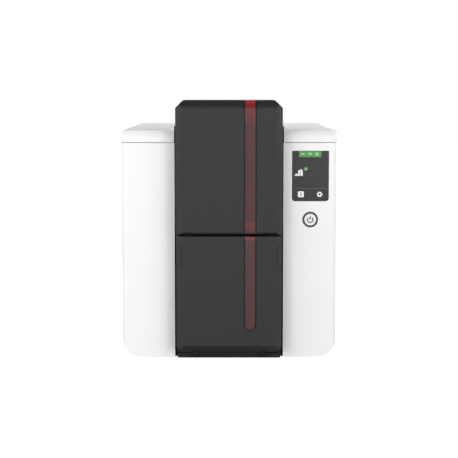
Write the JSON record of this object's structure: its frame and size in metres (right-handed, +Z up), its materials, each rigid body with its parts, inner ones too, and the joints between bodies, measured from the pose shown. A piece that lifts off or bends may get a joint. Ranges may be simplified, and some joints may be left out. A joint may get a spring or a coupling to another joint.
{
  "type": "id card printer",
  "caption": "Desktop card printer: white casing with a hinged lid, dark hinged card feeder and output doors with a red level window, a display and a power button.",
  "frame": {"origin": "on the table, at the bottom centre of the object's box", "axes": "+X to the right seen from the front, +Y to the back, +Z up; the doors face -Y"},
  "size_m": [0.205, 0.381, 0.247],
  "materials": {
    "white_abs": "fine moulded texture",
    "liner_abs": "fine moulded texture",
    "dark_abs": "satin moulded",
    "black_abs": "moulded",
    "red_window": "translucent, polished",
    "foot_rubber": "matt",
    "steel_sheet": "zinc plated",
    "steel_rod": "ground",
    "motor_steel": "plated",
    "bronze": "sintered",
    "belt_rubber": "matt",
    "roller_rubber": "matt",
    "clean_rubber": "tacky",
    "heat_alu": "anodised",
    "head_ceramic": "glazed",
    "board": "solder mask",
    "socket_black": "moulded",
    "socket_steel": "tinned",
    "display": "satin",
    "ring_grey": "satin",
    "button_white": "satin",
    "lever_grey": "moulded",
    "gear_pom": "moulded",
    "pinion_brass": "cut",
    "cassette_blue": "moulded",
    "ribbon_wound": "film",
    "ribbon_fresh": "film"
  },
  "bodies": {
    "housing": {"bottom_tray": "black_abs", "rubber_feet": "foot_rubber", "left_side_cover": "white_abs", "right_side_cover": "white_abs", "rear_cover": "white_abs", "inner_deck": "liner_abs", "feeder_housing": "dark_abs", "output_hopper": "black_abs", "left_side_plate": "steel_sheet", "right_side_plate": "steel_sheet", "cross_bars": "steel_rod", "card_guide": "black_abs", "shaft_bushes": "bronze", "drive_belt": "belt_rubber", "main_motor": "motor_steel", "ribbon_motor": "motor_steel", "ribbon_cassette": "cassette_blue", "main_board": "board", "power_inlet": "socket_black", "usb_port": "socket_steel", "network_port": "socket_steel", "display_window": "display", "control_board": "board", "button_ring": "ring_grey", "case_screws": "steel_rod", "output_hinge_pins": "steel_rod"},
    "lid": {"lid_shell": "white_abs", "lid_liner": "liner_abs", "lid_hinge_pins": "steel_rod", "head_bracket": "steel_sheet", "heat_sink": "heat_alu", "print_head": "head_ceramic", "head_springs": "steel_rod"},
    "feeder_door": {"feeder_door": "dark_abs", "feeder_window": "red_window", "feeder_hinge_pins": "steel_rod"},
    "output_door": {"output_door": "dark_abs", "output_window": "red_window"},
    "power_button": {"power_button": "button_white"},
    "card_weight": {"card_weight": "black_abs"},
    "thickness_slider": {"thickness_slider": "lever_grey"},
    "feed_roller": {"feed_roller": "roller_rubber"},
    "cleaning_roller": {"cleaning_roller": "clean_rubber"},
    "platen_roller": {"platen_roller": "roller_rubber"},
    "exit_roller": {"exit_roller": "roller_rubber"},
    "motor_pulley": {"motor_pulley": "gear_pom"},
    "take_up_spool": {"take_up_spool": "ribbon_wound", "take_up_gear": "gear_pom"},
    "supply_spool": {"supply_spool": "ribbon_fresh"},
    "ribbon_pinion": {"ribbon_pinion": "pinion_brass"}
  },
  "joints": [
    {"name": "lid_hinge", "type": "hinge", "parent": "housing", "child": "lid", "pos_m": [0, 0.1465, 0.2073], "axis": [-1, 0, 0], "range_deg": [0, 90]},
    {"name": "feeder_door_hinge", "type": "hinge", "parent": "housing", "child": "feeder_door", "pos_m": [0, -0.1866, 0.1244], "axis": [1, 0, 0], "range_deg": [0, 85]},
    {"name": "output_door_hinge", "type": "hinge", "parent": "housing", "child": "output_door", "pos_m": [0, -0.18, 0.0113], "axis": [1, 0, 0], "range_deg": [0, 90]},
    {"name": "power_button_press", "type": "slide", "parent": "housing", "child": "power_button", "axis": [0, 1, 0], "range_m": [0, 0.001], "stiffness_N_per_m": 300, "springref_m": -0.0005},
    {"name": "card_weight_slide", "type": "slide", "parent": "housing", "child": "card_weight", "axis": [0, 0, 1], "range_m": [0, 0.075]},
    {"name": "thickness_slide", "type": "slide", "parent": "housing", "child": "thickness_slider", "axis": [1, 0, 0], "range_m": [-0.0015, 0.0075]},
    {"name": "feed_roller_spin", "type": "hinge", "parent": "housing", "child": "feed_roller", "pos_m": [0, -0.1119, 0.1214], "axis": [1, 0, 0], "continuous": true},
    {"name": "cleaning_roller_spin", "type": "hinge", "parent": "housing", "child": "cleaning_roller", "pos_m": [0, -0.0609, 0.1214], "axis": [1, 0, 0], "continuous": true},
    {"name": "platen_roller_spin", "type": "hinge", "parent": "housing", "child": "platen_roller", "pos_m": [0, -0.0029, 0.1214], "axis": [1, 0, 0], "continuous": true},
    {"name": "exit_roller_spin", "type": "hinge", "parent": "housing", "child": "exit_roller", "pos_m": [0, 0.0531, 0.1214], "axis": [1, 0, 0], "continuous": true},
    {"name": "motor_pulley_spin", "type": "hinge", "parent": "housing", "child": "motor_pulley", "pos_m": [0, -0.0229, 0.072], "axis": [1, 0, 0], "continuous": true},
    {"name": "take_up_spin", "type": "hinge", "parent": "housing", "child": "take_up_spool", "pos_m": [0, -0.0509, 0.1614], "axis": [1, 0, 0], "continuous": true},
    {"name": "supply_spin", "type": "hinge", "parent": "housing", "child": "supply_spool", "pos_m": [0, 0.0471, 0.1614], "axis": [1, 0, 0], "continuous": true},
    {"name": "ribbon_pinion_spin", "type": "hinge", "parent": "housing", "child": "ribbon_pinion", "pos_m": [0, -0.03676, 0.14455], "axis": [1, 0, 0], "continuous": true}
  ],
  "couplings": [
    {"joint": "feed_roller_spin", "follows": "platen_roller_spin", "ratio": 1},
    {"joint": "cleaning_roller_spin", "follows": "platen_roller_spin", "ratio": 1},
    {"joint": "exit_roller_spin", "follows": "platen_roller_spin", "ratio": 1},
    {"joint": "motor_pulley_spin", "follows": "platen_roller_spin", "ratio": 1},
    {"joint": "supply_spin", "follows": "take_up_spin", "ratio": 0.5833},
    {"joint": "ribbon_pinion_spin", "follows": "take_up_spin", "ratio": -2.6667}
  ]
}
